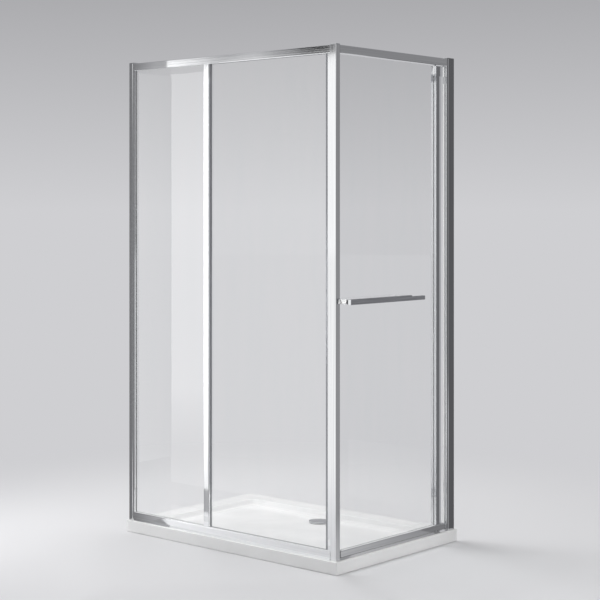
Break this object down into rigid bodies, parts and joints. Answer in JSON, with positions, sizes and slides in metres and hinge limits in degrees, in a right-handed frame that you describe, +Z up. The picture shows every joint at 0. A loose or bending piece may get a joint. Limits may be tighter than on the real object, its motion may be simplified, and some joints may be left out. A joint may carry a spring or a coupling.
{
  "type": "shower enclosure",
  "caption": "Corner shower enclosure: low white tray, framed clear glass screen on the long side, pivot door with a bar handle on the short side, and a lift-out waste cover.",
  "frame": {"origin": "middle of the tray's underside, on the floor", "axes": "+Z up, +X along the long side towards the door, +Y from the long screen towards the back wall"},
  "size_m": [1.229, 0.8, 2.054],
  "materials": {
    "tray_acrylic": "gloss",
    "chrome_plate": "polished",
    "polished_aluminium": "polished",
    "clear_glass": "clear",
    "grey_rubber": "matt",
    "black_rubber": "matt",
    "clear_vinyl": "translucent",
    "white_nylon": "matt",
    "stainless_steel": "satin",
    "cast_zinc": "as cast"
  },
  "bodies": {
    "enclosure": {"shower_tray": "tray_acrylic", "waste_body": "chrome_plate", "waste_gasket": "black_rubber", "waste_locknut": "white_nylon", "left_wall_profile": "polished_aluminium", "right_wall_profile": "polished_aluminium", "left_jamb": "polished_aluminium", "right_jamb": "polished_aluminium", "corner_post": "polished_aluminium", "corner_post_cap": "chrome_plate", "wall_profile_caps": "chrome_plate", "long_top_rail": "polished_aluminium", "long_bottom_rail": "polished_aluminium", "mid_stile": "polished_aluminium", "post_glazing_channel": "polished_aluminium", "narrow_glass": "clear_glass", "narrow_glass_gasket": "clear_vinyl", "wide_glass": "clear_glass", "wide_glass_gasket": "grey_rubber", "short_top_rail": "polished_aluminium", "door_sill": "polished_aluminium", "jamb_foot": "chrome_plate", "corner_keys": "cast_zinc", "corner_screws": "stainless_steel", "jamb_screws": "stainless_steel", "jamb_screw_caps": "white_nylon", "top_pivot_block": "cast_zinc", "top_pivot_pin": "stainless_steel", "bottom_pivot_pin": "stainless_steel", "pivot_washer": "white_nylon", "post_magnet_strip": "clear_vinyl", "hinge_side_seal": "clear_vinyl"},
    "door": {"door_glass": "clear_glass", "pivot_stile_outer": "polished_aluminium", "pivot_stile_inner": "polished_aluminium", "stile_pads": "clear_vinyl", "stile_screws": "stainless_steel", "pivot_head": "chrome_plate", "top_pivot_bush": "white_nylon", "bottom_pivot_bush": "white_nylon", "door_bottom_rail": "polished_aluminium", "door_rail_gasket": "clear_vinyl", "door_magnet_seal": "clear_vinyl", "door_drip_seal": "clear_vinyl", "handle_bar": "chrome_plate", "handle_standoffs": "white_nylon", "handle_neck_rings": "black_rubber", "handle_washers": "clear_vinyl", "handle_knobs": "chrome_plate", "handle_screws": "stainless_steel"},
    "waste_cover": {"waste_cover": "chrome_plate"}
  },
  "joints": [
    {"name": "door_pivot", "type": "hinge", "parent": "enclosure", "child": "door", "pos_m": [0.57, 0.282, 0.061], "axis": [0, 0, 1], "range_deg": [0, 90]},
    {"name": "waste_cover_lift", "type": "slide", "parent": "enclosure", "child": "waste_cover", "axis": [0, 0, 1], "range_m": [0, 0.03]}
  ]
}
